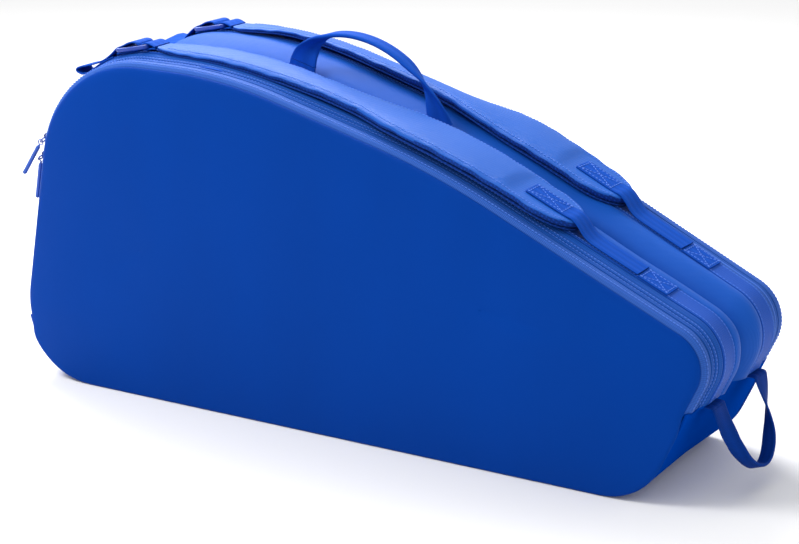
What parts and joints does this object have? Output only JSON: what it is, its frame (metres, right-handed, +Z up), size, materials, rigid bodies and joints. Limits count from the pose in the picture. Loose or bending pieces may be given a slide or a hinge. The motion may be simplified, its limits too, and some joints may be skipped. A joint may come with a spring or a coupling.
{
  "type": "racket tournament bag",
  "caption": "Royal blue two-compartment racket tournament bag with twin shoulder straps, carry handle, grab loop and four zip pulls.",
  "frame": {"origin": "on the surface that the bag stands on, under the middle of its body and midway between its two compartments", "axes": "+X along the bag to its narrow end with the grab loop, +Y across it from the front compartment to the rear one, +Z up"},
  "size_m": [0.7633, 0.2268, 0.365],
  "materials": {
    "shell_cloth": "royal blue polyester cloth, coated",
    "gusset_webbing": "royal blue woven strip",
    "zip_tape": "ribbed polyester tape",
    "zip_coil": "satin nylon coil",
    "webbing": "woven polyester webbing",
    "strap_mesh": "spacer mesh",
    "piping": "cloth piping over cord",
    "foam": "light closed-cell foam padding",
    "lining": "thin woven lining",
    "board": "matte polyethylene sheet",
    "buckle": "moulded acetal",
    "zip_metal": "enamelled zinc",
    "pull_tab": "soft moulded rubber"
  },
  "bodies": {
    "bag": {"base_panel": "shell_cloth", "divider_panel": "shell_cloth", "carry_handle_roots": "webbing", "grab_loop_roots": "webbing", "front_base_board": "board", "front_hinge_welt": "piping", "front_gusset_tape": "zip_tape", "front_gusset_trim": "zip_tape", "front_gusset_strip": "gusset_webbing", "front_valley_gusset": "shell_cloth", "front_gusset_coil": "zip_coil", "front_strap_anchor": "webbing", "front_lower_webbing": "webbing", "rear_base_board": "board", "rear_hinge_welt": "piping", "rear_gusset_tape": "zip_tape", "rear_gusset_trim": "zip_tape", "rear_gusset_strip": "gusset_webbing", "rear_valley_gusset": "shell_cloth", "rear_gusset_coil": "zip_coil", "rear_strap_anchor": "webbing", "rear_lower_webbing": "webbing"},
    "front_cover": {"front_cover_shell": "shell_cloth", "front_cover_foam": "foam", "front_cover_lining": "lining", "front_cover_tape": "zip_tape", "front_cover_coil": "zip_coil"},
    "front_lower_runner": {"front_lower_slider": "zip_metal"},
    "front_lower_ring": {"front_lower_pull_ring": "zip_metal"},
    "front_lower_tab": {"front_lower_pull_tab": "pull_tab"},
    "front_upper_runner": {"front_upper_slider": "zip_metal"},
    "front_upper_ring": {"front_upper_pull_ring": "zip_metal"},
    "front_upper_tab": {"front_upper_pull_tab": "pull_tab"},
    "front_strap": {"front_strap_pad": "shell_cloth", "front_strap_mesh": "strap_mesh", "front_strap_webbing": "webbing", "front_strap_loop": "webbing"},
    "front_buckle": {"front_ladder_lock": "buckle", "front_strap_tail": "webbing"},
    "rear_cover": {"rear_cover_shell": "shell_cloth", "rear_cover_foam": "foam", "rear_cover_lining": "lining", "rear_cover_tape": "zip_tape", "rear_cover_coil": "zip_coil"},
    "rear_lower_runner": {"rear_lower_slider": "zip_metal"},
    "rear_lower_ring": {"rear_lower_pull_ring": "zip_metal"},
    "rear_lower_tab": {"rear_lower_pull_tab": "pull_tab"},
    "rear_upper_runner": {"rear_upper_slider": "zip_metal"},
    "rear_upper_ring": {"rear_upper_pull_ring": "zip_metal"},
    "rear_upper_tab": {"rear_upper_pull_tab": "pull_tab"},
    "rear_strap": {"rear_strap_pad": "shell_cloth", "rear_strap_mesh": "strap_mesh", "rear_strap_webbing": "webbing", "rear_strap_loop": "webbing"},
    "rear_buckle": {"rear_ladder_lock": "buckle", "rear_strap_tail": "webbing"},
    "handle": {"carry_handle": "webbing"},
    "loop": {"grab_loop": "webbing"}
  },
  "joints": [
    {"name": "front_cover_fold", "type": "hinge", "parent": "bag", "child": "front_cover", "pos_m": [-0.01224, -0.09969, 0.0025], "axis": [0.9995, 0.0319, 0], "range_deg": [0, 85]},
    {"name": "front_lower_zip_travel", "type": "slide", "parent": "bag", "child": "front_lower_runner", "axis": [-0.1787, -0.0057, -0.9839], "range_m": [0, 0.11]},
    {"name": "front_lower_ring_swing", "type": "hinge", "parent": "front_lower_runner", "child": "front_lower_ring", "pos_m": [-0.34851, -0.09593, 0.22741], "axis": [-0.0319, 0.9995, 0], "range_deg": [-3, 20]},
    {"name": "front_lower_tab_swing", "type": "hinge", "parent": "front_lower_ring", "child": "front_lower_tab", "pos_m": [-0.35485, -0.09373, 0.22163], "axis": [-0.0319, 0.9995, 0], "range_deg": [-2, 35]},
    {"name": "front_upper_zip_travel", "type": "hinge", "parent": "bag", "child": "front_upper_runner", "pos_m": [-0.22238, -0.0919, 0.2121], "axis": [-0.0319, 0.9995, 0], "range_deg": [0, 68]},
    {"name": "front_upper_ring_swing", "type": "hinge", "parent": "front_upper_runner", "child": "front_upper_ring", "pos_m": [-0.34462, -0.0958, 0.24594], "axis": [-0.0319, 0.9995, 0], "range_deg": [-5, 60]},
    {"name": "front_upper_tab_swing", "type": "hinge", "parent": "front_upper_ring", "child": "front_upper_tab", "pos_m": [-0.35041, -0.09839, 0.23975], "axis": [-0.0319, 0.9995, 0], "range_deg": [-3, 35]},
    {"name": "front_strap_lift", "type": "hinge", "parent": "bag", "child": "front_strap", "pos_m": [0.27749, -0.04541, 0.19612], "axis": [0.0319, -0.9995, 0], "range_deg": [-3, 0]},
    {"name": "front_buckle_tilt", "type": "hinge", "parent": "front_strap", "child": "front_buckle", "pos_m": [-0.23426, -0.06176, 0.34432], "axis": [-0.0319, 0.9995, 0], "range_deg": [0, 25]},
    {"name": "rear_cover_fold", "type": "hinge", "parent": "bag", "child": "rear_cover", "pos_m": [-0.01224, 0.09969, 0.0025], "axis": [-0.9995, 0.0319, 0], "range_deg": [0, 85]},
    {"name": "rear_lower_zip_travel", "type": "slide", "parent": "bag", "child": "rear_lower_runner", "axis": [-0.1787, 0.0057, -0.9839], "range_m": [0, 0.11]},
    {"name": "rear_lower_ring_swing", "type": "hinge", "parent": "rear_lower_runner", "child": "rear_lower_ring", "pos_m": [-0.34851, 0.09593, 0.22741], "axis": [0.0319, 0.9995, 0], "range_deg": [-3, 20]},
    {"name": "rear_lower_tab_swing", "type": "hinge", "parent": "rear_lower_ring", "child": "rear_lower_tab", "pos_m": [-0.35485, 0.09373, 0.22163], "axis": [0.0319, 0.9995, 0], "range_deg": [-2, 35]},
    {"name": "rear_upper_zip_travel", "type": "hinge", "parent": "bag", "child": "rear_upper_runner", "pos_m": [-0.22238, 0.0919, 0.2121], "axis": [0.0319, 0.9995, 0], "range_deg": [0, 68]},
    {"name": "rear_upper_ring_swing", "type": "hinge", "parent": "rear_upper_runner", "child": "rear_upper_ring", "pos_m": [-0.34462, 0.0958, 0.24594], "axis": [0.0319, 0.9995, 0], "range_deg": [-5, 60]},
    {"name": "rear_upper_tab_swing", "type": "hinge", "parent": "rear_upper_ring", "child": "rear_upper_tab", "pos_m": [-0.35041, 0.09839, 0.23975], "axis": [0.0319, 0.9995, 0], "range_deg": [-3, 35]},
    {"name": "rear_strap_lift", "type": "hinge", "parent": "bag", "child": "rear_strap", "pos_m": [0.27749, 0.04541, 0.19612], "axis": [0.0319, 0.9995, 0], "range_deg": [0, 3]},
    {"name": "rear_buckle_tilt", "type": "hinge", "parent": "rear_strap", "child": "rear_buckle", "pos_m": [-0.23426, 0.06176, 0.34432], "axis": [0.0319, 0.9995, 0], "range_deg": [0, 25]},
    {"name": "carry_handle_tilt", "type": "hinge", "parent": "bag", "child": "handle", "pos_m": [-0.027, 0, 0.30803], "axis": [0.9676, 0, -0.2525], "range_deg": [-32, 32]},
    {"name": "grab_loop_swing", "type": "hinge", "parent": "bag", "child": "loop", "pos_m": [0.357, 0, 0.088], "axis": [0, -1, 0], "range_deg": [-12, 100]}
  ]
}
